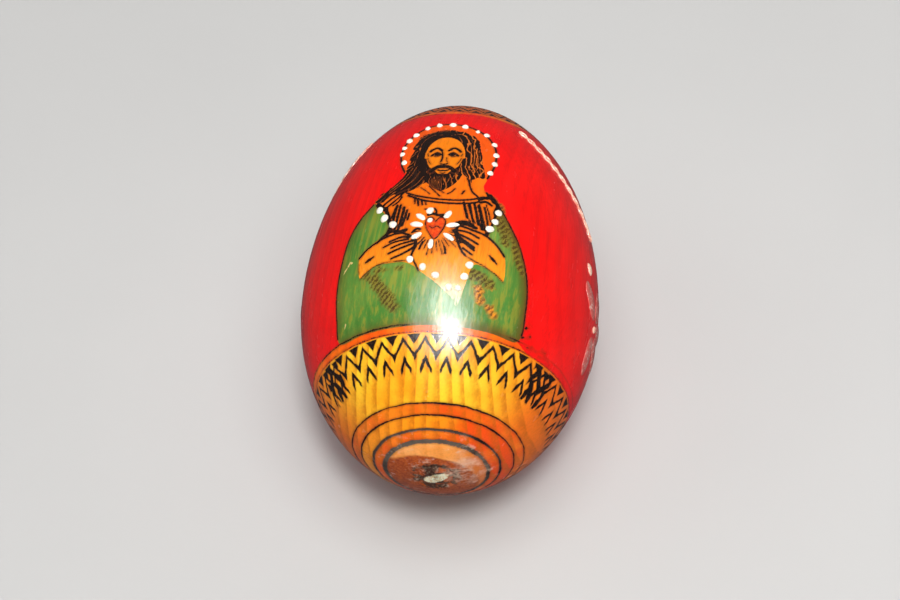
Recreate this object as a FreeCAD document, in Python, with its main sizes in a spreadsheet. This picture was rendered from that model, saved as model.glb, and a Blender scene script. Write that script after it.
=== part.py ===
"""Turned wooden Easter egg with raised enamel decoration, as a parametric FreeCAD document.

The egg lies on its side: its long axis runs along Y, the figure's foot end is the blunt end at -Y, the
head end is the narrower one at +Y, and the painted figure faces +Z. The origin is under the middle of the
egg, at the height of what it rests on. Every piece of enamel is a drop, dab or line of thick paint that
stands on the wood, so each is cut to the wood's surface.
"""

import FreeCAD, Part

import math
import os

import Sketcher
from FreeCAD import Placement, Rotation, Vector

SIZES = {
    "egg_diameter": 48.0,
    "foot_half": 31.0,  # widest circle to the foot end's pole
    "head_half": 39.0,  # widest circle to the head end's pole
    "scar_diameter": 7.4,  # ring of torn grain that parting off left at each pole
    "scar_core": 3.8,
    "scar_depth": 0.6,  # below the pole
    "halo_dot_width": 1.0,
    "robe_dot_width": 1.2,
    "drop_height": 0.32,
    "ray_length": 1.9,
    "ray_width": 0.95,
    "petal_length": 6.4,
    "petal_width": 3.2,
    "petal_height": 0.2,
    "bud_length": 2.1,
    "bud_width": 1.5,
    "braid_width": 0.4,
    "braid_height": 0.2,
    "braid_swing": 0.6,  # how far each strand swings to either side of the braid's middle
    "braid_pitch": 4.1,  # one full wave of a strand
}

# Places on the egg are (longitude in degrees, height in mm). Longitude 0 is the figure's middle, and
# height is measured over the surface from the widest circle, up towards the head end.
HALO_DOTS = [(-15.5, 14.0), (-17.5, 16.4), (-17.5, 18.1), (-16.3, 20.1), (-14.0, 21.6), (-9.5, 23.5), (-4.0, 24.2),
             (2.5, 24.3), (8.5, 23.8), (18.7, 21.9), (22.0, 19.4), (22.5, 16.5), (21.7, 14.1), (19.9, 11.7)]
HALO_SMALL_DOT = (14.5, 22.6, 0.75)  # with its width
LEFT_COLLAR_DOTS = [(-22.0, 4.0), (-19.5, 2.1), (-15.7, 0.5)]
RIGHT_COLLAR_DOTS = [(23.7, 3.5), (22.6, 1.6), (20.8, 0.0)]
MANTLE_EDGE_DOTS = [(-8.0, -6.3), (-3.0, -7.7), (2.0, -9.1), (7.5, -11.0), (11.0, -11.0), (13.0, -9.0), (14.5, -7.0)]
HEART_CENTRE = (0.4, -0.7)
RAYS = [(-97, 3.1), (-37, 2.9), (10, 2.8), (52, 3.1), (138, 3.1), (167, 2.9), (209, 3.1)]  # angle, reach
HEART_DROPS = [(-1.8, 2.5, 1.2), (-1.5, 0.6, 0.85)]  # with each drop's width
BRAID_START, BRAID_END = (38.0, 27.6), (80.5, 11.4)
BLOSSOM_CENTRE = (84.0, -5.0)
PETAL_ANGLES = [135, 80, 25, -30, -85]  # a sixth petal has worn away
PETAL_REACH = 4.7  # blossom's centre to a petal's middle
BUD = (73.0, 3.6, 118)  # with the angle that it points at
LEFT_SHIFT = 12.0  # degrees that the left garland lies further from the figure than the right one
SINK = 0.45  # share of a dab's own half-thickness that its middle lies under the surface
MERIDIAN_STEPS = 2000
BRAID_POINTS_PER_WAVE = 8
DROP_TURN = 110.0  # keeps the seam of a drop's sphere off the compass directions

doc = FreeCAD.newDocument("painted_egg")
sheet = doc.addObject("Spreadsheet::Sheet", "sizes")
for row, (alias, value) in enumerate(SIZES.items(), start=1):
    sheet.set(f"A{row}", alias)
    sheet.set(f"B{row}", str(value))
    sheet.setAlias(f"B{row}", alias)
doc.recompute()


def size(alias):
    return float(sheet.get(alias))


# ---------------------------------------------------------------- places on the egg

def meridian_table():
    """Height over the surface, distance along the axis and radius, from the foot pole to the head pole."""
    radius = size("egg_diameter") / 2
    rows, height, last = [], 0.0, None
    for i in range(MERIDIAN_STEPS + 1):
        angle = math.pi * (i / MERIDIAN_STEPS - 0.5)
        half = size("foot_half") if angle < 0 else size("head_half")
        point = (half * math.sin(angle), radius * math.cos(angle))
        height += math.dist(point, last) if last else 0.0
        rows.append((height, *point))
        last = point
    middle = rows[MERIDIAN_STEPS // 2][0]
    return [(h - middle, along, r) for h, along, r in rows]


MERIDIAN = meridian_table()


def on_egg(longitude, height):
    """A point of the egg's surface, with the directions east, north and outwards there."""
    above = next(i for i, row in enumerate(MERIDIAN) if row[0] >= height)
    low, high = MERIDIAN[above - 1], MERIDIAN[above]
    share = (height - low[0]) / (high[0] - low[0])
    along, radius = (low[k] + share * (high[k] - low[k]) for k in (1, 2))
    half = size("foot_half") if along < 0 else size("head_half")
    turn = math.radians(longitude)
    sideways = Vector(math.sin(turn), 0, math.cos(turn))
    outwards = sideways * (radius / (size("egg_diameter") / 2) ** 2) + Vector(0, along / half**2, 0)
    outwards.normalize()
    east = Vector(math.cos(turn), 0, -math.sin(turn))
    point = egg_middle() + sideways * radius + Vector(0, along, 0)
    return point, east, outwards.cross(east), outwards


def egg_middle():
    """The middle of the widest circle."""
    return Vector(0, (size("foot_half") - size("head_half")) / 2, size("egg_diameter") / 2)


def at_side(side, longitude):
    """Where a longitude of the right garland comes on a side, which is -1 on the left."""
    return longitude if side > 0 else -longitude - LEFT_SHIFT


def shifted(centre, angle, reach):
    """The place that lies reach mm from another, at an angle counted from east towards north."""
    longitude, height = centre
    up = height + reach * math.sin(math.radians(angle))
    point = on_egg(longitude, (height + up) / 2)[0]
    radius = math.hypot(point.x, point.z - egg_middle().z)
    return longitude + math.degrees(reach * math.cos(math.radians(angle)) / radius), up


# ---------------------------------------------------------------- wooden egg

def role(body, name):
    return next(f for f in body.Origin.OriginFeatures if f.Role == name)


def sketch_in(body, name):
    sketch = body.newObject("Sketcher::SketchObject", name)
    sketch.AttachmentSupport = (role(body, "XY_Plane"), [""])
    sketch.MapMode = "FlatFace"
    return sketch


def quarter_ellipse(sketch, pole_y, radius, first, last):
    """A quarter of an ellipse about the sketch's origin, from one axis to the other, standing upright."""
    ellipse = Part.Ellipse(Vector(0, pole_y, 0), Vector(math.copysign(radius, -pole_y), 0, 0), Vector(0, 0, 0))
    arc = sketch.addGeometry(Part.ArcOfEllipse(ellipse, first, last), False)
    sketch.addConstraint(Sketcher.Constraint("Coincident", arc, 3, -1, 1))
    before = sketch.GeometryCount
    sketch.exposeInternalGeometry(arc)
    sketch.addConstraint(Sketcher.Constraint("Vertical", before))
    return arc


def bind(sketch, constraint, name, expression):
    index = sketch.addConstraint(constraint)
    sketch.renameConstraint(index, name)
    sketch.setExpression(f"Constraints.{name}", expression)


def egg_profile(body):
    sketch = sketch_in(body, "egg_profile")
    radius, foot, head = size("egg_diameter") / 2, size("foot_half"), size("head_half")
    foot_arc = quarter_ellipse(sketch, -foot, radius, 0, math.pi / 2)
    head_arc = quarter_ellipse(sketch, head, radius, -math.pi / 2, 0)
    axis = sketch.addGeometry(Part.LineSegment(Vector(0, head, 0), Vector(0, -foot, 0)), False)
    for constraint in (
        Sketcher.Constraint("Coincident", foot_arc, 2, head_arc, 1),
        Sketcher.Constraint("Coincident", head_arc, 2, axis, 1),
        Sketcher.Constraint("Coincident", axis, 2, foot_arc, 1),
        Sketcher.Constraint("PointOnObject", foot_arc, 1, -2),
        Sketcher.Constraint("PointOnObject", head_arc, 2, -2),
        Sketcher.Constraint("PointOnObject", foot_arc, 2, -1),
    ):
        sketch.addConstraint(constraint)
    bind(sketch, Sketcher.Constraint("DistanceX", -1, 1, foot_arc, 2, radius), "radius", "sizes.egg_diameter / 2")
    bind(sketch, Sketcher.Constraint("DistanceY", foot_arc, 1, -1, 1, foot), "foot", "sizes.foot_half")
    bind(sketch, Sketcher.Constraint("DistanceY", -1, 1, head_arc, 2, head), "head", "sizes.head_half")
    return sketch


def scar_profile(body, name, pole_alias, side):
    """A triangle standing on the pole's own level, with its tip in the wood. side is -1 at the foot end."""
    sketch = sketch_in(body, name)
    core, rim, pole = size("scar_core") / 2, size("scar_diameter") / 2, size(pole_alias)
    tip = pole - size("scar_depth")
    corners = [Vector(core, side * pole, 0), Vector(rim, side * pole, 0), Vector((core + rim) / 2, side * tip, 0)]
    lines = [sketch.addGeometry(Part.LineSegment(corners[i], corners[(i + 1) % 3]), False) for i in range(3)]
    for i in range(3):
        sketch.addConstraint(Sketcher.Constraint("Coincident", lines[i], 2, lines[(i + 1) % 3], 1))
    sketch.addConstraint(Sketcher.Constraint("Horizontal", lines[0]))
    middle = "(sizes.scar_core + sizes.scar_diameter) / 4"
    bind(sketch, Sketcher.Constraint("DistanceX", -1, 1, lines[0], 1, core), "core", "sizes.scar_core / 2")
    bind(sketch, Sketcher.Constraint("DistanceX", -1, 1, lines[0], 2, rim), "rim", "sizes.scar_diameter / 2")
    bind(sketch, Sketcher.Constraint("DistanceX", -1, 1, lines[1], 2, (core + rim) / 2), "middle", middle)
    for line, label, reach, expression in (
        (lines[0], "level", pole, f"sizes.{pole_alias}"),
        (lines[1], "tip", tip, f"sizes.{pole_alias} - sizes.scar_depth"),
    ):
        corner = (line, 1) if label == "level" else (line, 2)
        ends = (-1, 1, *corner) if side > 0 else (*corner, -1, 1)
        bind(sketch, Sketcher.Constraint("DistanceY", *ends, reach), label, expression)
    return sketch


def wooden_egg():
    body = doc.addObject("PartDesign::Body", "wooden_egg")
    body.Label = "wooden_egg"
    profile = egg_profile(body)
    doc.recompute()
    turned = body.newObject("PartDesign::Revolution", "turned_shape")
    turned.Profile = profile
    turned.ReferenceAxis = (profile, ["V_Axis"])
    turned.Angle = 360
    doc.recompute()
    for name, pole_alias, side in (("foot_scar", "foot_half", -1), ("head_scar", "head_half", 1)):
        before = body.Shape.Volume
        outline = scar_profile(body, f"{name}_profile", pole_alias, side)
        groove = body.newObject("PartDesign::Groove", name)
        groove.Profile = outline
        groove.ReferenceAxis = (outline, ["V_Axis"])
        groove.Angle = 360
        doc.recompute()
        if not body.Shape.Volume < before - 1.0:
            raise RuntimeError(f"{name} cut nothing")
    body.setExpression("Placement.Base.y", "(sizes.foot_half - sizes.head_half) / 2")
    body.setExpression("Placement.Base.z", "sizes.egg_diameter / 2")
    doc.recompute()
    return body


# ---------------------------------------------------------------- enamel

def place_on(solid, longitude, height, sink, angle=0.0):
    """Puts a primitive's middle sink mm under the surface, its Z outwards and its X at an angle from east."""
    point, east, north, outwards = on_egg(longitude, height)
    upright = Rotation(east, north, outwards, "ZXY")
    solid.Placement = Placement(point - outwards * sink, upright.multiply(Rotation(Vector(0, 0, 1), angle)))


def drop(name, longitude, height, width):
    """A round drop, which is the cap of a sphere. width is a cell's alias, or a number for a drop of its own size."""
    sphere = doc.addObject("Part::Sphere", name)
    across = f"sizes.{width}" if isinstance(width, str) else f"{width}"
    wide = size(width) if isinstance(width, str) else width
    high = size("drop_height")
    sphere.setExpression("Radius", f"(({across} / 2) ^ 2 + sizes.drop_height ^ 2) / (2 * sizes.drop_height)")
    place_on(sphere, longitude, height, ((wide / 2) ** 2 + high**2) / (2 * high) - high, DROP_TURN)
    return sphere


def dab(name, longitude, height, angle, kind):
    """A long stroke of the brush, which is the top of an ellipsoid. kind is ray, bud or petal."""
    tall = "petal_height" if kind == "petal" else "drop_height"
    foot_share = math.sqrt(1 - SINK**2)
    ellipsoid = doc.addObject("Part::Ellipsoid", name)
    ellipsoid.setExpression("Radius1", f"sizes.{tall} / {1 - SINK}")
    ellipsoid.setExpression("Radius2", f"sizes.{kind}_length / {2 * foot_share}")
    ellipsoid.setExpression("Radius3", f"sizes.{kind}_width / {2 * foot_share}")
    place_on(ellipsoid, longitude, height, size(tall) / (1 - SINK) * SINK, angle)
    return ellipsoid


def strand(name, side, phase):
    """One strand of a braid: a round line of paint that waves about the braid's middle. side is -1 on the left."""
    (lon_0, up_0), (lon_1, up_1) = BRAID_START, BRAID_END
    ends = [on_egg(at_side(side, lon), up)[0] for lon, up in (BRAID_START, BRAID_END)]
    waves = round((ends[1] - ends[0]).Length / size("braid_pitch") * 2) / 2
    depth = size("braid_width") / 2 - size("braid_height")
    count = int(waves * BRAID_POINTS_PER_WAVE)
    points = []
    for i in range(count + 1):
        share = i / count
        longitude = at_side(side, lon_0 + share * (lon_1 - lon_0))
        point, _, _, outwards = on_egg(longitude, up_0 + share * (up_1 - up_0))
        across = (ends[1] - ends[0]).cross(outwards)
        across.normalize()
        swing = size("braid_swing") * math.sin(2 * math.pi * waves * share + phase)
        points.append(point + across * swing - outwards * (depth + swing**2 / size("egg_diameter")))
    path = doc.addObject("Part::Polygon", f"{name}_path")
    path.Nodes = points
    section = doc.addObject("Part::Circle", f"{name}_section")
    section.setExpression("Radius", "sizes.braid_width / 2")
    section.Placement = Placement(points[0], Rotation(Vector(0, 0, 1), points[1] - points[0]))
    sweep = doc.addObject("Part::Sweep", name)
    sweep.Sections = [section]
    sweep.Spine = (path, [f"Edge{i + 1}" for i in range(count)])
    sweep.Solid = True
    sweep.Frenet = False
    sweep.Transition = "Right corner"
    return sweep


def on_wood(label, wood, pieces, joined=False):
    """The named node: its pieces of enamel, less the wood that they stand on."""
    group = doc.addObject("Part::MultiFuse" if joined else "Part::Compound", f"{label}_paint")
    if joined:
        group.Shapes = pieces
    else:
        group.Links = pieces
    cut = doc.addObject("Part::Cut", label)
    cut.Base = group
    cut.Tool = wood
    cut.Label = label
    return cut


def dots(label, wood, places, width):
    return on_wood(label, wood, [drop(f"{label}_{i}", *place, width) for i, place in enumerate(places)])


def halo_dots(wood):
    drops = [drop(f"halo_dot_{i}", *place, "halo_dot_width") for i, place in enumerate(HALO_DOTS)]
    return on_wood("halo_dots", wood, [*drops, drop("halo_small_dot", *HALO_SMALL_DOT)])


def heart_rays(wood):
    rays = []
    for i, (angle, reach) in enumerate(RAYS):
        longitude, height = shifted(HEART_CENTRE, angle, reach)
        rays.append(dab(f"heart_ray_{i}", longitude, height, angle, "ray"))
    return on_wood("heart_rays", wood, rays)


def heart_drops(wood):
    return on_wood("heart_drops", wood, [drop(f"heart_drop_{i}", *d) for i, d in enumerate(HEART_DROPS)])


def blossom(label, wood, side):
    petals = []
    for i, angle in enumerate(PETAL_ANGLES):
        longitude, height = shifted(BLOSSOM_CENTRE, angle, PETAL_REACH)
        turn = angle if side > 0 else 180 - angle
        petals.append(dab(f"{label}_petal_{i}", at_side(side, longitude), height, turn, "petal"))
    return on_wood(label, wood, petals)


def bud(label, wood, side):
    longitude, height, angle = BUD
    turn = angle if side > 0 else 180 - angle
    return on_wood(label, wood, [dab(f"{label}_dab", at_side(side, longitude), height, turn, "bud")])


def braid(label, wood, side):
    strands = [strand(f"{label}_strand_{i}", side, phase) for i, phase in enumerate((0.0, math.pi))]
    return on_wood(label, wood, strands, joined=True)


def main():
    egg = wooden_egg()
    nodes = [
        egg,
        halo_dots(egg),
        dots("collar_dots_left", egg, LEFT_COLLAR_DOTS, "robe_dot_width"),
        dots("collar_dots_right", egg, RIGHT_COLLAR_DOTS, "robe_dot_width"),
        dots("mantle_edge_dots", egg, MANTLE_EDGE_DOTS, "robe_dot_width"),
        heart_rays(egg),
        heart_drops(egg),
    ]
    for name, side in (("left", -1), ("right", 1)):
        nodes.append(braid(f"garland_braid_{name}", egg, side))
        nodes.append(blossom(f"blossom_petals_{name}", egg, side))
        eye = (at_side(side, BLOSSOM_CENTRE[0]), BLOSSOM_CENTRE[1])
        nodes.append(dots(f"blossom_eye_{name}", egg, [eye], "robe_dot_width"))
        nodes.append(bud(f"garland_bud_{name}", egg, side))
    doc.recompute()
    failed = [o.Name for o in doc.Objects if {"Invalid", "Error"} & set(o.State)]
    failed += [n.Label for n in nodes if n.Shape.isNull() or not n.Shape.isValid()]
    if failed:
        raise RuntimeError(f"these objects failed: {failed}")
    os.makedirs("parts", exist_ok=True)
    for node in nodes:
        node.Shape.exportStep(f"parts/{node.Label}.step")
        box = node.Shape.BoundBox
        volumes = [solid.Volume for solid in node.Shape.Solids]
        print(
            f"{node.Label}: {len(volumes)} solids of {min(volumes):.2f} to {max(volumes):.2f} mm3,"
            f" {box.XLength:.1f} x {box.YLength:.1f} x {box.ZLength:.1f} mm"
        )


main()
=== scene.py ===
"""Looks of a lacquered wooden Easter egg, dyed, scorched with a haloed figure and dotted in enamel."""

import math

import bmesh
import bpy
import numpy as np
from mathutils import Matrix, Vector


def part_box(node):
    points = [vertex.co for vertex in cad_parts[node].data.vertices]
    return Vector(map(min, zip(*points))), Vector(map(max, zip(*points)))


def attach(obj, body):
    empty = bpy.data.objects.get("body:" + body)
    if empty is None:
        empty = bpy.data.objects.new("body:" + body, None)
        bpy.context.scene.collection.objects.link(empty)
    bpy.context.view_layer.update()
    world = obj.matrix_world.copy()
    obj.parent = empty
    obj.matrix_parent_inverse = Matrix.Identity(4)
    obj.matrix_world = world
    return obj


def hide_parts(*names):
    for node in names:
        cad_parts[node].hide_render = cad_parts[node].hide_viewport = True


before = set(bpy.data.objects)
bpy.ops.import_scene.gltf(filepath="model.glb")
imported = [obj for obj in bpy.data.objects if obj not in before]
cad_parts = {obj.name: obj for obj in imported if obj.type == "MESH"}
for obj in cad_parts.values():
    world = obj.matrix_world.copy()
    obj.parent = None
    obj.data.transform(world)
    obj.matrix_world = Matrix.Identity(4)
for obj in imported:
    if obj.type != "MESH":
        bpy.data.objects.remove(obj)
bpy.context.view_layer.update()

MM = 0.001
RNG = np.random.default_rng(7)

# ---------- the egg's own coordinates
# A place on the egg is (longitude in degrees, height in mm). Height is measured over the surface from the
# widest circle, up towards the head end. The drawing's longitudes count from a line a little to the figure's
# left, and FIGURE_TURN brings them to the egg's, where 0 is straight up.

FOOT_HALF, HEAD_HALF = 31.0, 39.0  # the widest circle to either pole, in mm
EGG_LOW, EGG_HIGH = (np.array(corner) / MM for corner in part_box("wooden_egg"))
RADIUS = (EGG_HIGH[2] - EGG_LOW[2]) / 2
MIDDLE = np.array([0.0, EGG_LOW[1] + FOOT_HALF, EGG_LOW[2] + RADIUS])
FIGURE_TURN = 6.0


def meridian():
    """Height over the surface and the angle that makes it, from pole to pole."""
    angle = np.linspace(-math.pi / 2, math.pi / 2, 4001)
    half = np.where(angle < 0, FOOT_HALF, HEAD_HALF)
    along, radius = half * np.sin(angle), RADIUS * np.cos(angle)
    height = np.concatenate([[0.0], np.cumsum(np.hypot(np.diff(along), np.diff(radius)))])
    return height - height[len(height) // 2], angle


HEIGHTS, ANGLES = meridian()
FOOT_POLE, HEAD_POLE = HEIGHTS[0], HEIGHTS[-1]


def radius_at(height):
    return RADIUS * np.cos(np.interp(height, HEIGHTS, ANGLES))


def on_egg(longitude, height, lift=0.0):
    """Points of the surface in mm, raised by lift, and their outward normals."""
    measures = (np.asarray(measure, dtype=float) for measure in (longitude, height, lift))
    longitude, height, lift = np.broadcast_arrays(*measures)
    turn, angle = np.radians(longitude), np.interp(height, HEIGHTS, ANGLES)
    half = np.where(angle < 0, FOOT_HALF, HEAD_HALF)
    sideways = np.stack([np.sin(turn), np.zeros_like(turn), np.cos(turn)], -1)
    forwards = np.array([0.0, 1.0, 0.0])
    radius, along = RADIUS * np.cos(angle), half * np.sin(angle)
    normal = sideways * (np.cos(angle) / RADIUS)[..., None] + forwards * (np.sin(angle) / half)[..., None]
    normal /= np.linalg.norm(normal, axis=-1, keepdims=True)
    point = MIDDLE + sideways * radius[..., None] + forwards * along[..., None]
    return point + normal * lift[..., None], normal


def chart(longitude, height):
    """A flat map in mm that is true to size along the figure's middle line."""
    return np.stack([np.radians(longitude) * radius_at(height), height], -1)


def drawn(points):
    """Places of the drawing, taken to the flat map."""
    longitude, height = np.array(points, dtype=float).T
    return chart(longitude + FIGURE_TURN, height)


def smooth_line(points, closed=False):
    """A Catmull-Rom curve through the points, back to the first if closed."""
    if closed:
        before, after = points[-1:], points[:2]
    else:
        before, after = 2 * points[:1] - points[1:2], 2 * points[-1:] - points[-2:-1]
    padded = np.concatenate([before, points, after])
    share = np.linspace(0, 1, 6, endpoint=False)[:, None]
    curve = []
    for a, b, c, d in zip(padded, padded[1:], padded[2:], padded[3:]):
        slope, bend, twist = c - a, 2 * a - 5 * b + 4 * c - d, 3 * b - a - 3 * c + d
        curve.append(0.5 * (2 * b + slope * share + bend * share**2 + twist * share**3))
    curve.append(points[:1] if closed else points[-1:])
    return np.concatenate(curve)


# ---------- the drawing
# Outlines are closed. Each line is (width in mm, its places). The face's places count from its middle.

ROBE = [
    (-50, -16.7), (-49, -13), (-47.2, -9), (-44.6, -5), (-41, 0), (-37, 3), (-32.4, 5.1), (-29, 6.4),
    (-20, 7.6), (-5, 8), (8, 7.6), (12, 6.8), (14.6, 6.2), (17, 5.2), (19.8, 3.5), (23, 1.2),
    (27.4, -2.2), (31.6, -7), (33.8, -12), (34, -16.8), (20, -17), (-10, -17), (-35, -16.9),
]
TUNIC = [
    (-30.4, 6.2), (-28.4, 4.6), (-25.4, 2.9), (-22.4, 0.9), (-23.4, -1), (-28, -2.1), (-32, -3.1),
    (-35, -4.2), (-35.4, -5.8), (-35.2, -7.6), (-34, -7.8), (-31.5, -7.1), (-27, -6.4), (-22, -6.5),
    (-17, -6.6), (-13, -7.3), (-9, -8.7), (-4, -10.2), (0, -11.6), (2.8, -12.6), (5, -13.9), (6.4, -12.4),
    (8, -9.6), (10, -6.9), (14.5, -7), (18.5, -7.7), (21.6, -8.6), (22.3, -8.2), (22.2, -6.4),
    (21.2, -4.2), (17.8, -2.8), (14.8, -1.5), (15.3, 0.8), (16.8, 2.8), (17, 4.4), (15.4, 6),
    (12.6, 7), (11.4, 8.4), (12.2, 10.4), (4, 12), (-10, 12), (-18, 8.4), (-24, 7),
]
HALO = [
    (-18, 10.4), (-20.8, 12), (-23, 14.4), (-24, 17), (-23.2, 19.6), (-20.6, 21.8), (-16, 23.6),
    (-10.5, 24.4), (-4, 24.6), (2.5, 24.2), (8.8, 23), (13.4, 21.2), (16, 18.8), (16.6, 16.2), (15.6, 13.6),
    (13.6, 11.2), (11.2, 10), (0, 9.4), (-12, 9.4),
]
HAIR = [
    (-31, 5.9), (-27.6, 7.6), (-23.2, 9.1), (-20.4, 10.8), (-19.2, 13), (-18.9, 15.6), (-18.7, 18.2),
    (-17.7, 20.2), (-15, 21.6), (-10.4, 22.2), (-5.6, 22.5), (-0.8, 22.3), (3.6, 21.7), (7.4, 20.7),
    (9.4, 19.3), (9.8, 17.2), (10.4, 14.8), (11, 12.4), (11.6, 10.4), (10.4, 9.8), (9, 10.4), (7.4, 9.4),
    (6.4, 8), (5.2, 9.4), (3.4, 10.4), (-4.8, 9.2), (-10.4, 8.6), (-14.6, 7.5), (-18.6, 6.5), (-23, 6.6),
    (-27, 5.7),
]
HEART = [
    (-5.4, -2.9), (-7.4, -1.9), (-8.9, -0.5), (-8.9, 0.6), (-7.6, 1.2), (-6.2, 1), (-5.3, 0.4),
    (-4.4, 1), (-3, 1.2), (-1.8, 0.6), (-1.9, -0.5), (-3.4, -1.9),
]
FACE_MIDDLE = -4.8
HEART_MIDDLE = (-5.4, -0.8)
DEGREES_PER_MM = 2.4  # round the egg where it is widest
FACE_RIGHT = [(0, 20.1), (3.6, 19.7), (6.6, 18.3), (8.1, 16.1), (8, 13.8), (6.6, 11.4), (4, 9.6)]
BEARD_RIGHT = [
    (0, 10.5), (1.7, 10.5), (2.7, 11), (4.2, 11.6), (6, 12.5), (7.6, 14.4), (8.7, 13.8), (8.3, 11.4),
    (6.6, 9.2), (4, 7.7), (1.7, 6.9),
]
BEARD_FOOT, CHIN = (0, 6.6), (0, 8.8)

FACE_PAIRS = [  # drawn on both sides of the face's middle
    (0.4, [(1.6, 16.35), (3.4, 17), (5.4, 16.6), (6.3, 16.1)]),
    (0.3, [(1.6, 15.2), (3.2, 15.75), (4.9, 15.3), (5.5, 14.95)]),
    (0.14, [(2, 15), (3.4, 14.7), (4.9, 15)]),
    (0.56, [(3.2, 15.25), (3.4, 15.25)]),
    (0.22, [(0.35, 12.8), (0.9, 12.75), (1.45, 13.05)]),
    (0.7, [(0.4, 12.15), (1.9, 12.15), (3.3, 11.75), (4.6, 11.1)]),
    (0.24, [(0, 11.25), (1, 11.2), (2.1, 11.4)]),
    (0.12, [(6.9, 14.4), (6.1, 13.5), (5.3, 12.9)]),
    (0.12, [(7.2, 15.6), (6.7, 14.9)]),
    (0.12, [(0.9, 14.4), (1, 13.7), (1.4, 13.3)]),
]
FACE_SINGLES = [
    (0.22, [(-1.5, 16.3), (-0.95, 15.2), (-0.9, 14.2), (-1.2, 13.5)]),
    (0.2, [(-0.4, 12.75), (0, 12.65), (0.4, 12.75)]),
    (0.14, [(-1, 10.75), (0, 10.6), (1, 10.75)]),
]
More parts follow.
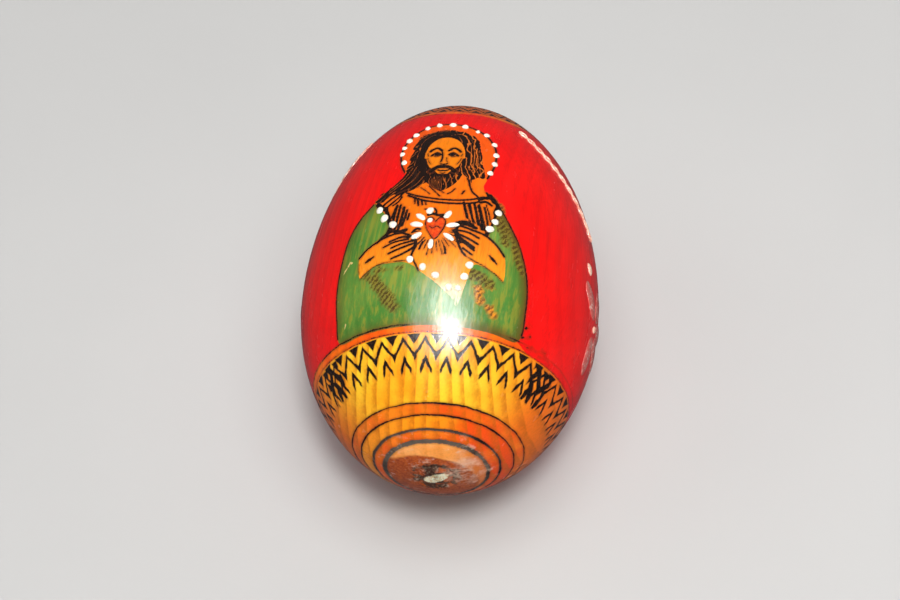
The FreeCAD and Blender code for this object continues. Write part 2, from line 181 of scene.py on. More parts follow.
LINES = [
    (0.26, [(-17.6, 6.6), (-13, 5.7), (-8, 5.1), (-3, 4.8), (2, 4.8), (7, 5.2), (11, 6)]),
    (0.3, [(-17, 6), (-12.5, 5), (-8, 4.4), (-3, 4.1), (2, 4.1), (6.5, 4.4), (10.2, 5)]),
    (0.2, [(-9.2, 7.7), (-7, 6.6), (-4.8, 5.5)]),
    (0.18, [(-5.6, 6.9), (-3.4, 6.2)]),
    (0.18, [(0.6, 7.2), (-0.4, 6.5), (-2, 6)]),
    (0.22, [(4.3, 6.9), (3.4, 6.2)]),
    (0.26, [(5.6, 9.4), (6.4, 7.8), (7.4, 6.8), (9.4, 6)]),
    (0.16, [(-12.5, 7.5), (-10, 6.6), (-8.6, 6)]),
    # the mantle's edge on the left breast and the shoulder's folds
    (0.8, [(-29.2, 5.3), (-27.4, 4.4), (-25.4, 3.9)]),
    (0.6, [(-25.2, 3.6), (-24, 2.4), (-23.2, 1), (-22.4, 0.2), (-23.6, -1.2)]),
    (0.34, [(-26.6, 4.9), (-23.4, 6), (-20.2, 6.7), (-17.8, 7)]),
    (0.3, [(-25.2, 4.2), (-22.4, 5.2), (-20.4, 6), (-19, 6.9)]),
    (0.26, [(-22.6, 4.4), (-20.8, 4.9), (-19.4, 5.9)]),
    (0.3, [(-21.2, 3.9), (-22, 2.6), (-22.6, 1.8)]),
    (0.55, [(-22.2, -0.6), (-19, -1.1), (-16.2, -0.9)]),
    (0.36, [(-27.6, -2.4), (-24.4, -1.3), (-21.4, -0.8)]),
    (0.22, [(-14.2, 5), (-13.9, 4.2)]),
    (0.26, [(-12.9, 4.8), (-12.4, 3.7)]),
    (0.24, [(-11.4, 4.6), (-11, 3.8)]),
    (0.22, [(-10, 4.4), (-9.6, 3.8)]),
    # folds and the mantle's edge on the right breast
    (0.34, [(17.6, 4.2), (16.2, 2.2), (15.2, 0.2), (13.8, -1.4)]),
    (0.22, [(10.2, 4.4), (11.6, 2.2), (12.8, 0.2), (13.6, -1.3)]),
    (0.2, [(8.4, 4), (9.8, 2), (11.6, -0.4)]),
    (0.22, [(6.2, 4), (7.4, 2.2), (9, 0.6)]),
    (0.18, [(4.4, 3.8), (5.8, 2), (7.2, 0.8)]),
    (0.16, [(12.8, 4.6), (14, 3), (14.8, 1.4)]),
    (0.6, [(10, 5.5), (11.6, 5.9), (13.4, 6.1)]),
    (0.4, [(10.6, 4.9), (12.8, 5.2), (14.8, 4.7)]),
    (0.55, [(14.2, 6.7), (15.8, 5.9), (17.2, 4.9), (18.4, 3.9)]),
    (0.3, [(12.6, 7.1), (14, 6.3), (15.6, 5.3)]),
    (0.4, [(16.8, 4.4), (16.2, 3.4), (16.6, 2.6)]),
    # left hand
    (0.3, [(-35.2, -4.3), (-31.5, -3.1), (-27, -2.2), (-22.6, -1.6), (-18, -1.4), (-14.6, -2)]),
    (0.3, [(-22.4, -2.7), (-18, -2.2), (-14.2, -2.3)]),
    (0.24, [(-24.8, -3.5), (-20, -2.9), (-15, -2.7)]),
    (0.26, [(-21.6, -3.9), (-17.6, -3.4), (-13.4, -3.1)]),
    (0.3, [(-22.6, -4.8), (-18, -4.2), (-13.2, -3.6)]),
    (0.3, [(-21.4, -5.8), (-17, -5.2), (-13.4, -4.4), (-12, -3.6)]),
    (0.3, [(-14.6, -2), (-12.6, -2.7), (-11.9, -3.9), (-13, -5), (-13.6, -5.8)]),
    (0.12, [(-34.6, -7.9), (-31.4, -7.1), (-27, -6.4), (-21, -6.3), (-15.4, -6.5)]),
    (0.06, [(-35.2, -5.4), (-35.4, -6.2), (-35.2, -7)]),
    (0.46, [(-31.2, -5.2), (-30.2, -5.05)]),
    (0.24, [(-32.2, -5.4), (-30.4, -5.1), (-28.8, -4.8)]),
    (0.22, [(-13.4, -5.9), (-12, -7), (-10.6, -8.3)]),
    # right hand
    (0.3, [(21.2, -4.3), (17.8, -2.7), (13.4, -1.4), (8.4, -0.8), (3.4, -0.2)]),
    (0.5, [(4.2, 0.3), (7, 0.1), (9.6, -0.3)]),
    (0.3, [(2.6, -1.1), (6.8, -1.3), (11, -2.1)]),
    (0.3, [(3.2, -1.8), (7, -2.4), (10.8, -3.2)]),
    (0.3, [(4.2, -2.8), (6.8, -3.6), (9.6, -4.4)]),
    (0.26, [(5.4, -4.2), (7.2, -4.7), (9, -5.2)]),
    (0.3, [(3.4, -0.2), (2.2, -1.4), (3.2, -3), (4.8, -4.6), (6.4, -5.4)]),
    (0.12, [(6.4, -5.5), (10, -6.2), (14.4, -6.9), (18.6, -7.7), (22, -8.6)]),
    (0.42, [(16.6, -5.2), (17.5, -5.5)]),
    (0.22, [(15.6, -4.8), (17, -5.3), (18.6, -5.9)]),
    # the heart's flame and mark
    (0.42, [(-8.4, 1.7), (-6.6, 1.9), (-4.6, 1.6), (-2.4, 1.7)]),
    (0.24, [(-9.8, 2.9), (-8.6, 2.7), (-7.4, 2.3)]),
    (0.24, [(-6.2, 3), (-5.4, 2.4), (-5.2, 1.8), (-3.2, 1.4)]),
    (0.14, [(-7.6, -0.5), (-6.2, -0.9), (-4.8, -0.5), (-3.4, -0.9)]),
]
OUTLINED = {  # width in mm of the line round each, and what hides it
    "robe": (0.20, ("tunic", "hair")),
    "halo": (0.26, ("hair", "robe", "tunic")),
    "heart": (0.14, ()),
}
FUZZ = [  # hatching and smoke: width in mm, places
    (1.6, [(12, 6.4), (15.4, 5.6), (18.4, 4.4)]),
    (1.6, [(17.8, 2.2), (19.6, 0.2), (21.6, -1.8)]),
    (1.1, [(21.4, 0.9), (25, -2.2), (28.4, -6)]),
    (1.7, [(-31.6, -7.6), (-29, -9), (-26, -10.7), (-22.6, -12.5), (-20.6, -13.8)]),
    (1.7, [(9.6, -8.4), (13, -8.8), (16.6, -9.4)]),
    (1.3, [(12.8, -10.6), (14, -11.6), (15, -12.4)]),
    (1.3, [(17.6, -13.2), (20.4, -14)]),
    (0.5, [(-28.5, -7.4), (-22, -7.5), (-17.5, -7.5)]),
]
FOLDS = [  # deeper hatching in the tunic and between the fingers
    (0.42, [(-20.9, 4.2), (-21.6, 2), (-21.8, 0.2)]),
    (0.36, [(-19.4, 4.2), (-20, 2), (-20.6, -0.4)]),
    (0.42, [(-17.9, 3.6), (-18.4, 1.6), (-19.3, -0.6)]),
    (0.34, [(-16.6, 3), (-17.2, 1.4), (-17.9, 0)]),
    (0.26, [(-15.6, 2.2), (-16, 1)]),
    (0.36, [(4.4, 4.4), (5.4, 2.6), (6.2, 1.4)]),
    (0.3, [(6.6, 4.4), (7.4, 2.6), (8.4, 0.8)]),
    (0.36, [(8.4, 4.4), (9.4, 2.4), (10.4, 0.4)]),
    (0.34, [(10, 4.2), (11.2, 2), (12.2, -0.4)]),
    (0.26, [(12.2, 4), (13.2, 2.2), (14, 0.4)]),
    (0.34, [(-13.8, -1.5), (-12.2, -0.9), (-10.8, -1)]),
    (0.55, [(2.4, 0.2), (5.2, 0.6), (8.4, 0.1)]),
    (0.44, [(1.6, -1.2), (3.4, -1.9), (4.6, -3.2)]),
    (0.4, [(3, -2.2), (6, -3), (9.4, -3.9)]),
    (0.34, [(-12.6, -2.9), (-12.2, -4), (-13, -5)]),
    (0.26, [(-9.6, -3.4), (-10.6, -4.6)]),
    (0.26, [(-1.4, -4.2), (-0.8, -5.4)]),
    (0.26, [(-12.4, -0.2), (-11.2, -0.2)]),
]
HAIR_GAPS = [  # where the wood shows between locks
    (0.13, [(5.4, 18.8), (6, 16.4), (5.8, 13.6), (5.2, 11.6)]),
    (0.16, [(6.8, 18.2), (7.3, 15.4), (7, 12.4), (7.2, 10.6)]),
    (0.12, [(8.2, 17.6), (8.7, 14.6), (8.7, 12.2)]),
    (0.15, [(9.4, 13.6), (9.9, 11.8), (10.2, 10.6)]),
    (0.13, [(6.2, 13.2), (8.4, 11.8), (9.2, 10.9)]),
    (0.12, [(4.6, 12.6), (6.6, 11.4), (8.2, 10.2)]),
    (0.1, [(9.2, 17), (9.6, 15.4), (9.9, 14.2)]),
    (0.12, [(3.4, 11), (4.8, 10.2), (5.4, 9.4)]),
    (0.1, [(-15.4, 12.6), (-17.4, 10.4), (-21, 8.6), (-25.4, 7.2)]),
    (0.1, [(-13.8, 11.2), (-16.2, 9.2), (-20.4, 7.6)]),
    (0.09, [(-12, 10), (-14.4, 8.4), (-17.6, 7.4)]),
    (0.09, [(-17, 12.4), (-19.6, 10), (-23.8, 8.2)]),
    (0.08, [(-3.4, 20.8), (1.4, 21.2), (5.2, 20), (7, 18.6)]),
    (0.08, [(-6.2, 20.9), (-11, 21), (-15, 19.4), (-16.4, 16.8)]),
    (0.09, [(-15.6, 17.6), (-16.4, 14.6), (-16.8, 12.8)]),
]
BEARD_GAPS = [  # drawn on both sides of the face's middle
    (0.1, [(1.4, 9.6), (1.2, 8.8), (0.8, 8)]),
    (0.1, [(3.2, 10), (2.8, 9.2), (2.2, 8.5)]),
    (0.1, [(5, 10.8), (4.6, 10), (4, 9.3)]),
    (0.09, [(6.6, 12), (6.4, 11.2), (5.8, 10.5)]),
]
CHIPS = [
    (0.5, [(-43, -5.9), (-41.2, -5.2)]), (0.6, [(-40.4, -4.9), (-39.4, -4.4), (-38.6, -4.6)]),
    (0.5, [(-45.4, -14.8), (-44.4, -14.2)]), (0.3, [(-40, -13.4), (-39.4, -13.2)]),
    (0.35, [(53, 0.4), (53.4, 0.9)]),
]
FLECKS = [
    (0.35, [(35.6, -14.4), (36.2, -14.2)]), (0.3, [(37.4, -13.6), (37.9, -13.5)]),
    (0.3, [(35.2, -16), (36, -15.8)]), (0.25, [(38.6, -15.4), (39.2, -15.2)]),
    (0.16, [(38.4, -16.9), (40.6, -17.2)]), (0.2, [(42, -16.6), (42.8, -17.4)]),
    (0.14, [(44.6, -16.9), (47.4, -17.4)]), (0.18, [(49.8, -16.2), (50.4, -17.2)]),
    (0.14, [(52.6, -17), (55, -17.3)]), (0.2, [(46.2, -15.9), (46.6, -16.3)]),
]


def mirrored_outline(right, foot):
    """A closed outline that is alike on both sides of the face."""
    left = [(-x, y) for x, y in right if x > 0][::-1]
    return [(FACE_MIDDLE + x, y) for x, y in right + [foot] + left]


FACE = mirrored_outline(FACE_RIGHT, CHIN)
BEARD = mirrored_outline(BEARD_RIGHT, BEARD_FOOT)
AREAS = {
    "robe": ROBE, "tunic": TUNIC, "halo": HALO, "hair": HAIR, "face": FACE, "beard": BEARD, "heart": HEART,
}


def on_face(lines, sides=(1,)):
    """Lines drawn from the face's middle, for one half of it or for both."""
    moved = []
    for width, places in lines:
        moved += [(width, [(FACE_MIDDLE + side * x, y) for x, y in places]) for side in sides]
    return moved


def heart_glow():
    """Thin lines round the heart, between the rays of enamel."""
    x, y = HEART_MIDDLE
    lines = []
    for i, angle in enumerate(np.arange(-168, 14, 9.5)):
        turn = math.radians(angle)
        near, far = 2.35 + 0.25 * (i % 2), 3.5 + 0.8 * ((i * 5) % 3) / 2 + 0.7 * math.sin(-turn)
        east, north = math.cos(turn) * DEGREES_PER_MM, math.sin(turn)
        lines.append((0.13, [(x + reach * east, y + reach * north) for reach in (near, far)]))
    return lines


# ---------- distances to the drawing

FAR = 9.0  # mm; stands for nowhere near
RED_FOOT, RED_HEAD = -16.6, 29.6  # where the red ground ends, in mm over the surface


def line_distance(points, line, width):
    """Distance to a line of that width: negative inside."""
    best = np.full(len(points), np.inf)
    for a, b in zip(line, line[1:]):
        run = b - a
        share = np.clip(((points - a) @ run) / max(run @ run, 1e-9), 0, 1)
        best = np.minimum(best, np.linalg.norm(points - a - share[:, None] * run, axis=1))
    return best - width / 2


def area_distance(points, outline):
    """Distance to a closed outline: negative inside."""
    edge = line_distance(points, outline, 0.0)
    inside = np.zeros(len(points), dtype=bool)
    x, y = points[:, 0], points[:, 1]
    for (x0, y0), (x1, y1) in zip(outline, outline[1:]):
        crosses = (y0 > y) != (y1 > y)
        if y0 != y1:
            inside ^= crosses & (x < (x1 - x0) * (y - y0) / (y1 - y0) + x0)
    return np.where(inside, -edge, edge)


def union(points, lines):
    """Distance to the nearest of several lines."""
    apart = [line_distance(points, smooth_line(drawn(places)), width) for width, places in lines]
    return np.min(apart, axis=0)


def drawing_distances(points):
    """The distance to each part of the drawing, at places of the flat map."""
    outlines = {name: smooth_line(drawn(shape), closed=True) for name, shape in AREAS.items()}
    found = {name: area_distance(points, outline) for name, outline in outlines.items()}
    ink = union(points, LINES + FOLDS + on_face(FACE_SINGLES) + on_face(FACE_PAIRS, (-1, 1)) + heart_glow())
    for name, (width, covers) in OUTLINED.items():
        edge = line_distance(points, outlines[name], width)
        for cover in covers:
            edge = np.where(found[cover] < 0, FAR, edge)
        if name == "robe":  # its foot has the band's line instead
            edge = np.where(points[:, 1] < RED_FOOT + 0.7, FAR, edge)
        ink = np.minimum(ink, edge)
    gaps = HAIR_GAPS + on_face(BEARD_GAPS, (-1, 1))
    found["ink"] = ink
    for name, lines in (("fuzz", FUZZ), ("gaps", gaps), ("chips", CHIPS), ("flecks", FLECKS)):
        found[name] = union(points, lines)
    return found


# ---------- the wood

SCAR_CORE, SCAR_DEEPEST, SCAR_RIM, SCAR_DEPTH = 2.0, 2.8, 3.3, 0.38  # radii and depth in mm
POLE_ZONE, POLE_SPACING = 4.6, 0.16  # mm of fine mesh round each pole, for the torn grain
TURN_FROM, TURN_TO = -46, 42.5  # the finest mesh lies under the figure, between these longitudes
HEIGHT_FROM, HEIGHT_TO = -17.4, 25.4  # and these heights


def scar_lift(radius, turn):
    """Ragged ring of torn grain round each pole, with broken fibres in its middle."""
    wave = 0.5 + 0.5 * np.sin(3 * turn + 1.3) * np.sin(7 * turn + 0.4)
    rough = RNG.uniform(-1, 1, radius.shape)
    ring = [SCAR_CORE, SCAR_DEEPEST, SCAR_RIM + 0.35 * wave.mean()]
    inner = np.interp(radius, ring, [0, 1, 0], left=0, right=0)
    dug = -SCAR_DEPTH * inner * (0.55 + 0.45 * wave)
    core = np.clip(1 - radius / SCAR_CORE, 0, 1) ** 0.5
    return dug + core * (0.05 + 0.07 * rough) + 0.03 * rough * (inner > 0)


def spaced(*stretches):
    """Positions along a line. Each stretch is (from, to, spacing)."""
    parts = []
    for start, end, spacing in stretches:
        count = max(int(round((end - start) / spacing)), 1)
        parts.append(np.linspace(start, end, count, endpoint=False))
    return np.concatenate(parts)


def egg_grid():
    """Longitudes and heights of the egg's skin."""
    heights = spaced(
        (FOOT_POLE + 0.12, FOOT_POLE + POLE_ZONE, POLE_SPACING),
        (FOOT_POLE + POLE_ZONE, HEIGHT_FROM - 7, 0.6),
        (HEIGHT_FROM - 7, HEIGHT_FROM, 0.5),
        (HEIGHT_FROM, HEIGHT_TO, 0.2),
        (HEIGHT_TO, HEAD_POLE - POLE_ZONE, 0.8),
        (HEAD_POLE - POLE_ZONE, HEAD_POLE - 0.1, POLE_SPACING),
    )
    turns = spaced((TURN_FROM, TURN_TO, 0.47), (TURN_TO, TURN_FROM + 360, 2.6))
    return np.meshgrid(turns, heights)


def add_measure(mesh, name, values):
    measure = mesh.attributes.new(name, "FLOAT", "POINT")
    measure.data.foreach_set("value", np.asarray(values, dtype=np.float32))


def egg_mesh():
    """The egg's skin, with its heights and its distances to the drawing."""
    longitude, height = egg_grid()
    radius = radius_at(height)
    lift = np.where(radius < 5, scar_lift(radius, np.radians(longitude)), 0.0)
    points, _ = on_egg(longitude, height, lift)
    poles, _ = on_egg([0, 0], [FOOT_POLE, HEAD_POLE])
    vertices = np.concatenate([points.reshape(-1, 3), poles])
    rows, columns = longitude.shape
    index = np.arange(rows * columns).reshape(rows, columns)
    after = np.roll(index, -1, axis=1)
    quads = np.stack([index[:-1], after[:-1], after[1:], index[1:]], -1).reshape(-1, 4)
    foot, head = rows * columns, rows * columns + 1
    fans = [(foot, b, a) for a, b in zip(index[0], after[0])]
    fans += [(head, a, b) for a, b in zip(index[-1], after[-1])]
    mesh = bpy.data.meshes.new("painted_egg")
    mesh.from_pydata((vertices * MM).tolist(), [], quads.tolist() + fans)
    longitude, height = ((longitude + 180) % 360 - 180).ravel(), height.ravel()
    near = (np.abs(longitude) < 62) & (height > -19) & (height < 27)  # the drawing and a margin round it
    for name, distance in drawing_distances(chart(longitude[near], height[near])).items():
        values = np.full(len(vertices), FAR)
        values[np.nonzero(near)[0]] = distance
        add_measure(mesh, name, values)
    add_measure(mesh, "height", np.concatenate([height, [FOOT_POLE, HEAD_POLE]]))
    return mesh


def mesh_of(builder, name):
    mesh = bpy.data.meshes.new(name)
    builder.to_mesh(mesh)
    builder.free()
    return mesh


def add_object(name, data):
    thing = bpy.data.objects.new(name, data)
    bpy.context.scene.collection.objects.link(thing)
    return thing


def add_piece(name, mesh, material, slot, *nodes):
    """A visible piece that stands for these CAD nodes."""
    mesh.polygons.foreach_set("use_smooth", [True] * len(mesh.polygons))
    mesh.materials.append(material)
    mesh.update()
    piece = add_object(name, mesh)
    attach(piece, "root")
    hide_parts(*nodes)


# ---------- material building

def linear(levels):
    """A screen's colour, red, green and blue from 0 to 255, in the renderer's units."""
    shares = [level / 255 for level in levels]
    return (*(s / 12.92 if s < 0.0404 else ((s + 0.055) / 1.055) ** 2.4 for s in shares), 1.0)


def operation(kind):
    """A method that adds a Math node of this kind."""
    return lambda value, *others: value.math(kind, *others)


class Value:
    """A number in a material. Arithmetic on it adds Math nodes."""

    def __init__(self, paint, socket):
        self.paint, self.socket = paint, socket

    def math(self, kind, *others):
        node = self.paint.node("Math", enumerate((self, *others)), operation=kind)
        return Value(self.paint, node.outputs[0])

    def __rsub__(self, other):
        return self.math("MULTIPLY_ADD", -1.0, other)

    __add__ = __radd__ = operation("ADD")
    __mul__ = __rmul__ = operation("MULTIPLY")
    __sub__, __abs__ = operation("SUBTRACT"), operation("ABSOLUTE")
    low, high = operation("MINIMUM"), operation("MAXIMUM")
    part, sine, root = operation("FRACT"), operation("SINE"), operation("SQRT")

    def step(self, start, end):
        """0 at start and 1 at end, with a soft passage. start may be the larger."""
        ranges = (start, end, 0.0, 1.0) if start < end else (end, start, 1.0, 0.0)
        node = self.paint.node("MapRange", enumerate((self, *ranges)), interpolation_type="SMOOTHSTEP")
        return Value(self.paint, node.outputs[0])


class Paint:
    """A procedural material in the making. Lengths in it are in mm."""

    def __init__(self, name):
        self.material = bpy.data.materials.new(name)
        self.material.use_nodes = True
        self.tree = self.material.node_tree
        self.tree.nodes.clear()
        place = self.node("TexCoord").outputs["Object"]
        self.place = self.node("VectorMath", {0: place, "Scale": 1 / MM}, operation="SCALE").outputs[0]

    def node(self, kind, inputs=(), **settings):
        """A shader node, with its inputs by name or place."""
        node = self.tree.nodes.new(f"ShaderNode{kind}")
        for key, value in settings.items():
            setattr(node, key, value)
        for key, value in dict(inputs).items():
            value = value.socket if isinstance(value, Value) else value
            if isinstance(value, bpy.types.NodeSocket):
                self.tree.links.new(value, node.inputs[key])
            else:
                node.inputs[key].default_value = value
        return node

    def axes(self):
        return [Value(self, out) for out in self.node("SeparateXYZ", {0: self.place}).outputs]

    def attribute(self, name):
        return Value(self, self.node("Attribute", attribute_name=name).outputs["Fac"])

    def noise(self, per_mm, detail=2.0, rough=0.5, shift=0.0, warp=0.0):
        """Noise from 0 to 1, with per_mm cells to a mm along each axis."""
        per_mm = (per_mm,) * 3 if isinstance(per_mm, (int, float)) else per_mm
        moves = {"Vector": self.place, "Scale": per_mm, "Location": (shift,) * 3}
        moved = self.node("Mapping", moves).outputs[0]
        traits = {"Vector": moved, "Scale": 1.0, "Detail": detail, "Roughness": rough, "Distortion": warp}
        return Value(self, self.node("TexNoise", traits).outputs["Fac"])

    def uneven(self, span, *noise, **more):
        """Noise round 0 that spans that much."""
        return (self.noise(*noise, **more) - 0.5) * span

    def mix(self, share, first, second):
        """What is first where share is 0 and second where it is 1. Plain colours are a screen's levels."""
        first, second = (linear(one) if isinstance(one, tuple) else one for one in (first, second))
        return self.node("Mix", {0: share, 6: first, 7: second}, data_type="RGBA").outputs[2]

    def shade(self, colour, by):
        """The colour made brighter or darker by a number."""
        grey = self.node("CombineColor", {0: by, 1: by, 2: by}).outputs[0]
        inputs = {0: 1.0, 6: colour, 7: grey}
        return self.node("Mix", inputs, data_type="RGBA", blend_type="MULTIPLY").outputs[2]

    def bump(self, height_mm):
        return self.node("Bump", {"Height": height_mm * MM, "Strength": 1.0, "Distance": 1.0}).outputs[0]

    def finish(self, **inputs):
        inputs = {key.replace("_", " "): value for key, value in inputs.items()}
        surface = self.node("BsdfPrincipled", inputs)
        self.node("OutputMaterial", {"Surface": surface.outputs[0]})
        return self.material


# ---------- painted wood

REPEATS = 35  # zigzags round the egg
STAMP_JOINTS = (-57, 60, 178)  # longitudes where one stamping of the zigzags runs over the last
STAMP_REACH = 7  # degrees that it runs over to either side
HEAD_TIGHTER = 1.18  # the head's band and rings lie this much closer than the foot's
STRIP = 1.5  # mm between the red ground and the band's ornament
RINGS = ((12.1, 0.14), (14.05, 0.16), (16.45, 0.24), (18.5, 0.38))  # mm beyond the red ground, half width
GRAIN_LEAN, GRAIN_FAN = 0.09, 0.005  # mm across the egg for each mm along it, and what that loses per mm


class Wood(Paint):
    """The painted wood, with the measures and noises that its colours share."""

    def __init__(self):
        super().__init__("painted_wood")
        x, y, z = self.axes()
        self.x, self.up = x, z - float(MIDDLE[2])
        self.height = self.attribute("height")
        self.longitude = x.math("ARCTAN2", self.up) * math.degrees(1)

        # growth layers stand nearly upright in the lying egg, and fibres lean a little
        across = x - y * (GRAIN_LEAN - x * GRAIN_FAN)
        self.place = self.node("CombineXYZ", {0: across, 1: y, 2: z}).outputs[0]
        self.fibre = self.noise((3.6, 0.1, 3.6), 4, 0.62)
        self.pores = self.noise((9, 0.45, 9), 2, 0.6, shift=3).step(0.64, 0.76)
        self.streak = self.noise((1.4, 0.035, 0.9), 3, 0.6, shift=27)
        self.blotch = self.noise((0.16, 0.09, 0.16), 3, 0.55, shift=1)
        self.speckle = self.noise(2.6, 3, 0.7, shift=11)
        self.scribble = self.noise((1.5, 1.1, 1.5), 3, 0.7, shift=12, warp=0.8)
        self.edge = self.uneven(0.16, 2.2, 3, 0.6, shift=6)

        # how far beyond the red ground each place is, in mm
        beyond = (RED_FOOT - self.height).high((self.height - RED_HEAD) * HEAD_TIGHTER)
        self.beyond = beyond + self.uneven(0.35, 0.45, 2, shift=4)

        # late wood is the dark side of each growth layer
        sway = self.noise((0.05, 0.012, 0.02), 2, shift=5)
        layer = (across * 0.97 + z * 0.12 + sway * 7) * 0.62 + self.noise((0.35, 0.02, 0.05), 2, shift=8)
        layer = layer.part()
        late = layer.step(0.25, 0.9) * layer.step(1, 0.9) * (0.35 + self.streak.step(0.3, 0.6) * 0.75)
        self.late = late * (1 - self.beyond.step(18.2, 18.8) * 0.75)

    def around(self, span):
        """The blotches as unevenness round 0."""
        return (self.blotch - 0.5) * span

    def covered(self, name, under, over, share=1, soft=0.05):
        """One colour over another inside a named part of the drawing."""
        return self.mix((self.attribute(name) + self.edge).step(soft, -soft) * share, under, over)


def band_ornament(beyond, across, thick):
    """Triangles, a zigzag and chevrons. across is 0 at one peak of the zigzag and 1 at the next."""
    off_valley = abs(across - 0.5) * 2
    off_peak = 1 - off_valley
    zigzag = abs(beyond - 2.35 - off_peak * 2.65) - thick - off_peak.step(0.7, 1) * 0.28
    triangle = (beyond - 3.15 + off_valley * 2.7).high(1.62 - beyond)
    chevron = (abs(beyond - 5.35 - off_peak * 3.5) - thick * 1.45).high((off_peak - 0.58) * 2.4)
    return zigzag.low(triangle).low(chevron).high(STRIP - beyond).high(beyond - 7.5)


def band_ink(wood):
    """Distance to the scorched ornament and the turned lines of both ends."""
    beyond, longitude = wood.beyond, wood.longitude
    wear = wood.blotch * 0.5 + wood.fibre * 0.5
    thick = 0.36 + wood.uneven(0.5, 1.5, 3, 0.6, shift=2)
    across = longitude * (REPEATS / 360) + 0.11 + wood.uneven(0.12, 0.9, 2, shift=9)
    ornament = band_ornament(beyond, across.part(), thick)
    again = band_ornament(beyond - 0.25, (across + 0.36).part(), thick + 0.42)
    for joint in STAMP_JOINTS:
        ornament = ornament.low(again.high((abs(longitude - joint) - STAMP_REACH) * 0.3))
    lines = abs(beyond - 0.1) - 0.14 + (wear - 0.45) * 0.9 + abs(longitude - 14).step(26, 8) * 0.5
    lines = lines + longitude.step(38, 44) * longitude.step(150, 130) * 0.16
    lines = lines.low(abs(beyond - 1.3) - 0.1 + (wear - 0.44) * 1.1)
    for at, half in RINGS:
        thinned = longitude.step(20, 70) * longitude.step(150, 110) * half * 0.3
        lines = lines.low(abs(beyond - at) - half + thinned + (wear - 0.5) * (0.35 + half * 2))
    return ornament.low(lines)


def tip_colour(wood):
    """Bare wood inside the last ring, darker brown-red towards its lower left."""
    tip = wood.mix(wood.blotch.step(0.35, 0.65), (248, 152, 60), (255, 178, 104))
    tip = wood.mix((wood.x + wood.around(12)).step(2, 7) * 0.8, tip, (206, 92, 34))
    # a darker brown-red patch towards the pole's lower left
    lower_left_patch = (wood.beyond - wood.up * 0.42 - wood.x * 0.26 + wood.around(4)).step(19, 19.7)
    return wood.mix(lower_left_patch, tip, wood.mix(wood.fibre.step(0.4, 0.65), (184, 84, 32), (150, 58, 22)))


def end_colour(wood):
    """The ends: an orange strip, the yellow band with painted shade at the head end, and rings in other
    dyes.
    """
    beyond, blotch = wood.beyond, wood.blotch
    first, second, third, last = (at for at, _ in RINGS)
    bare = wood.mix(blotch.step(0.3, 0.75), (255, 204, 44), (250, 160, 18))
    warm = wood.mix(abs(wood.longitude + 8).step(30, 80), bare, (240, 112, 10))
    # painted shade: the band at the head end is darker brown-orange
    warm = wood.mix(wood.height.step(0, 5), warm, (206, 92, 22))
    inner = wood.mix(blotch.step(0.35, 0.7), (234, 78, 8), (250, 132, 20))
    colour = wood.mix(beyond.step(first - 0.05, first + 0.1), warm, inner)
    lively = wood.mix((wood.x + wood.around(14)).step(1, 6), (255, 152, 18), (240, 78, 4))
    between = beyond.step(second - 0.05, second + 0.1) * beyond.step(third - 0.05, third - 0.25)
    colour = wood.mix(between, colour, lively)
    strip = wood.mix(blotch.step(0.4, 0.6), (244, 84, 2), (255, 118, 4))
    colour = wood.mix(beyond.step(STRIP + 0.1, STRIP - 0.1), colour, strip)
    colour = wood.mix((beyond + wood.around(0.8)).step(last - 0.1, last + 0.4), colour, tip_colour(wood))
    return wood.mix(wood.late * beyond.step(1.4, 2) * 0.55, colour, (214, 104, 8))


def ground_colour(wood):
    """The red ground, which runs out over the strip on the right, and the ends."""
    red = wood.mix(wood.blotch.step(0.3, 0.8), (232, 6, 6), (246, 14, 10))
    overrun = wood.longitude.step(36, 48) * wood.longitude.step(150, 130) * 1.35
    return wood.mix((wood.beyond - overrun + wood.edge * 2).step(-0.02, 0.06), red, end_colour(wood))


def robe_colour(wood):
    """Streaked green that is smoky near the robe's edge."""
    green = wood.mix(wood.blotch.step(0.3, 0.75), (66, 122, 44), (104, 142, 56))
    green = wood.mix(wood.streak.step(0.48, 0.62) * 0.6, green, (150, 144, 46))
    green = wood.mix(wood.streak.step(0.5, 0.3) * 0.35, green, (44, 96, 34))
    green = wood.mix(wood.fibre.step(0.52, 0.72) * 0.3, green, (168, 156, 60))
    smoky = (wood.attribute("robe") + wood.around(2.2)).step(-2.5, -0.1)
    return wood.mix(smoky * (0.45 + wood.longitude.step(15, 30) * 0.4), green, (96, 62, 16))


def hatched(wood, colour):
    """Loose dark strokes on rubbed patches."""
    patchy = wood.uneven(1.8, 0.55, 2, shift=15) + (wood.scribble - 0.5) * 1.4
    fuzz = (wood.attribute("fuzz") + patchy).step(0.45, -0.5)
    foot = wood.longitude.step(12, 18) * wood.height.step(-9.6, -10.6)
    colour = wood.mix(fuzz * 0.75, colour, wood.mix(foot, (134, 112, 36), (240, 134, 22)))
    strokes = ((wood.x * 0.8 - wood.height * 0.7 + wood.scribble * 1.4) * 8.5).sine().step(-0.6, 0.3)
    return wood.mix(fuzz * strokes * wood.speckle.step(0.7, 0.5) * 0.85, colour, (60, 34, 14))


def hair_colour(wood):
    """Dark locks with wood between them, and where there is hair."""
    x, height, longitude, hair = wood.x, wood.height, wood.longitude, wood.attribute("hair")
    gaps = (wood.attribute("gaps") + wood.edge * 0.6).step(0.05, -0.06)
    lock = wood.mix(gaps, (30, 15, 9), (206, 102, 28))
    curl = wood.noise((1, 0.8, 1), 3, 0.65, shift=13, warp=1)
    falling = wood.mix(longitude.step(2, -4), x + height * 0.25, x * 0.76 - height * 0.65)
    strands = ((falling + wood.noise(0.35, 2, shift=19) * 3) * 6).sine().step(0.72, 0.92)
    loose = longitude.step(5.5, 9) * 0.85 + (hair + (curl - 0.5) * 2.4).step(-0.8, -0.2) * 0.5
    wisps = ((falling + curl * 1.4) * 4).sine() * 0.16 + (curl - 0.5) * 0.7
    return wood.mix(strands * loose.low(1), lock, (214, 108, 30)), (hair + wisps).step(0.06, -0.06)


